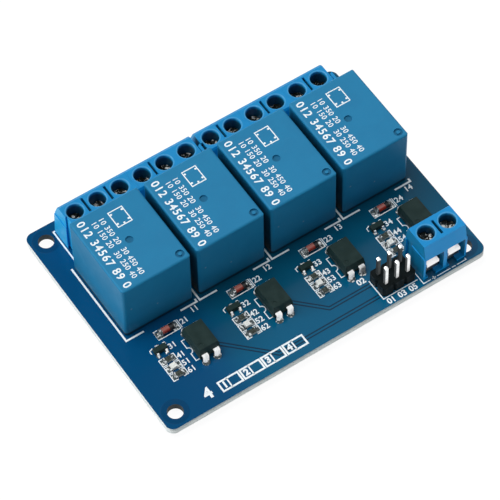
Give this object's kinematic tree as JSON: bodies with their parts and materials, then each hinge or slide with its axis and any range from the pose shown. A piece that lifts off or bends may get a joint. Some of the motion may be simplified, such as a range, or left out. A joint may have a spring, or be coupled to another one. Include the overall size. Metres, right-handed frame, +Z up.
{
  "type": "relay module board",
  "caption": "Circuit board with a row of sealed relays, optocoupler drivers, output and power screw terminals and a pin header",
  "frame": {"origin": "centre of the four mounting holes, on the underside of the board", "axes": "+X along the relay row, +Y towards the output terminals, +Z up, away from the board's underside"},
  "size_m": [0.073, 0.053, 0.0186],
  "materials": {
    "board_mask": "blue solder mask over glass laminate, satin",
    "relay_case": "blue moulded plastic, satin",
    "relay_base": "blue moulded plastic, matt",
    "output_plastic": "bright blue moulded plastic",
    "power_plastic": "brighter blue moulded plastic",
    "clamp_steel": "plated steel strip",
    "screw_steel": "plated steel screws",
    "tinned_metal": "tinned leads and caps",
    "header_plastic": "black moulded plastic",
    "mould_compound": "dark moulding compound, matt",
    "diode_glass": "red-brown glass",
    "resistor_ceramic": "dark coated ceramic",
    "led_resin": "clear white resin",
    "solder": "bright solder"
  },
  "bodies": {
    "root": {"board": "board_mask", "relay_case_1": "relay_case", "relay_case_2": "relay_case", "relay_case_3": "relay_case", "relay_case_4": "relay_case", "relay_base_1": "relay_base", "relay_base_2": "relay_base", "relay_base_3": "relay_base", "relay_base_4": "relay_base", "relay_pins_1": "tinned_metal", "relay_pins_2": "tinned_metal", "relay_pins_3": "tinned_metal", "relay_pins_4": "tinned_metal", "output_housing_1": "output_plastic", "output_housing_2": "output_plastic", "output_housing_3": "output_plastic", "output_housing_4": "output_plastic", "output_housing_5": "output_plastic", "output_clamp_frames_1": "clamp_steel", "output_clamp_frames_2": "clamp_steel", "output_clamp_frames_3": "clamp_steel", "output_clamp_frames_4": "clamp_steel", "output_clamp_frames_5": "clamp_steel", "output_wire_leaves": "clamp_steel", "output_clamp_screws": "screw_steel", "power_housing": "power_plastic", "power_clamp_frames": "clamp_steel", "power_wire_leaves": "clamp_steel", "power_clamp_screws": "screw_steel", "header_body": "header_plastic", "header_pins": "tinned_metal", "optocoupler_body_1": "mould_compound", "optocoupler_body_2": "mould_compound", "optocoupler_body_3": "mould_compound", "optocoupler_body_4": "mould_compound", "optocoupler_leads_1": "tinned_metal", "optocoupler_leads_2": "tinned_metal", "optocoupler_leads_3": "tinned_metal", "optocoupler_leads_4": "tinned_metal", "transistor_body_1": "mould_compound", "transistor_body_2": "mould_compound", "transistor_body_3": "mould_compound", "transistor_body_4": "mould_compound", "transistor_leads": "tinned_metal", "diode_glass_1": "diode_glass", "diode_glass_2": "diode_glass", "diode_glass_3": "diode_glass", "diode_glass_4": "diode_glass", "diode_caps": "tinned_metal", "resistor_bodies": "resistor_ceramic", "resistor_caps": "tinned_metal", "led_bodies": "led_resin", "led_caps": "tinned_metal", "solder_pads": "solder", "solder_fillets": "solder"}
  },
  "joints": []
}
